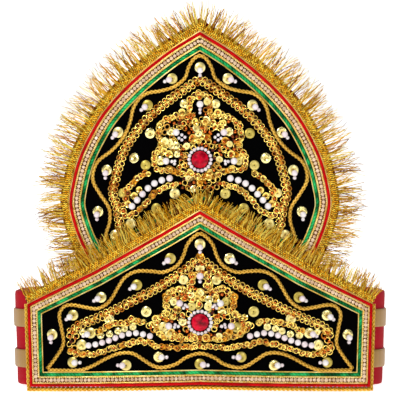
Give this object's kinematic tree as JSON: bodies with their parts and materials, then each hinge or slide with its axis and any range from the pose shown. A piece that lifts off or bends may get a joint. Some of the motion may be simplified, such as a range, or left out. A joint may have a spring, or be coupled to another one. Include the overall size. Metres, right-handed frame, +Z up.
{
  "type": "velvet crown",
  "caption": "Stiff crown for the head: a low gabled front and a tall pointed arch in black velvet, beaded, corded and fringed in gold, on a red cloth head band.",
  "frame": {"origin": "middle of the crown's box in plan, on the surface that it rests on", "axes": "+Z up, -Y out of the front panel over the brow, +X to the right as the picture shows it"},
  "size_m": [0.1966, 0.1754, 0.2001],
  "materials": {
    "black_velvet": "short dense pile, deep black",
    "red_cloth": "plain woven cloth, crimson",
    "tan_satin": "satin ribbon, soft sheen",
    "gold_zari": "metallic gold thread",
    "red_piping": "twisted red cord",
    "galloon": "gold galloon set with small pale stones",
    "green_metallic": "twisted metallic green tape",
    "gold_cord": "plaited gold cord",
    "gold_sequin": "pale gold metallised sequin",
    "pearl": "imitation pearl",
    "ruby": "cut and foiled, opaque crimson"
  },
  "bodies": {
    "root": {"front_panel": "black_velvet", "back_panel": "black_velvet", "head_band": "red_cloth", "band_ribbon_lower": "tan_satin", "band_ribbon_upper": "tan_satin", "front_edge_rope": "gold_zari", "front_fringe_left": "gold_zari", "front_fringe_right": "gold_zari", "back_fringe_left": "gold_zari", "back_fringe_right": "gold_zari", "front_red_piping": "red_piping", "back_red_piping": "red_piping", "front_stone_trim": "galloon", "back_stone_trim": "galloon", "front_green_trim": "green_metallic", "back_green_trim": "green_metallic", "front_wave_cord_upper": "gold_cord", "front_wave_cord_lower": "gold_cord", "back_wave_cord": "gold_cord", "front_arch_chain": "gold_sequin", "back_arch_chain": "gold_sequin", "front_lower_chain": "gold_sequin", "front_flower": "gold_sequin", "back_flower": "gold_sequin", "front_crescent_left": "gold_sequin", "front_crescent_right": "gold_sequin", "back_upper_crescent_left": "gold_sequin", "back_upper_crescent_right": "gold_sequin", "back_lower_crescent_left": "gold_sequin", "back_lower_crescent_right": "gold_sequin", "front_button_1": "gold_sequin", "front_button_2": "gold_sequin", "front_button_3": "gold_sequin", "front_button_4": "gold_sequin", "front_button_5": "gold_sequin", "front_button_6": "gold_sequin", "front_button_7": "gold_sequin", "front_button_8": "gold_sequin", "front_button_9": "gold_sequin", "front_button_10": "gold_sequin", "front_button_11": "gold_sequin", "back_button_1": "gold_sequin", "back_button_2": "gold_sequin", "back_button_3": "gold_sequin", "back_button_4": "gold_sequin", "back_button_5": "gold_sequin", "back_button_6": "gold_sequin", "back_button_7": "gold_sequin", "back_button_8": "gold_sequin", "back_button_9": "gold_sequin", "back_button_10": "gold_sequin", "back_button_11": "gold_sequin", "front_pearl_string_left": "pearl", "front_pearl_string_right": "pearl", "back_pearl_string_left": "pearl", "back_pearl_string_right": "pearl", "front_ruby_pearls": "pearl", "back_ruby_pearls": "pearl", "front_ruby": "ruby", "back_ruby": "ruby"}
  },
  "joints": []
}
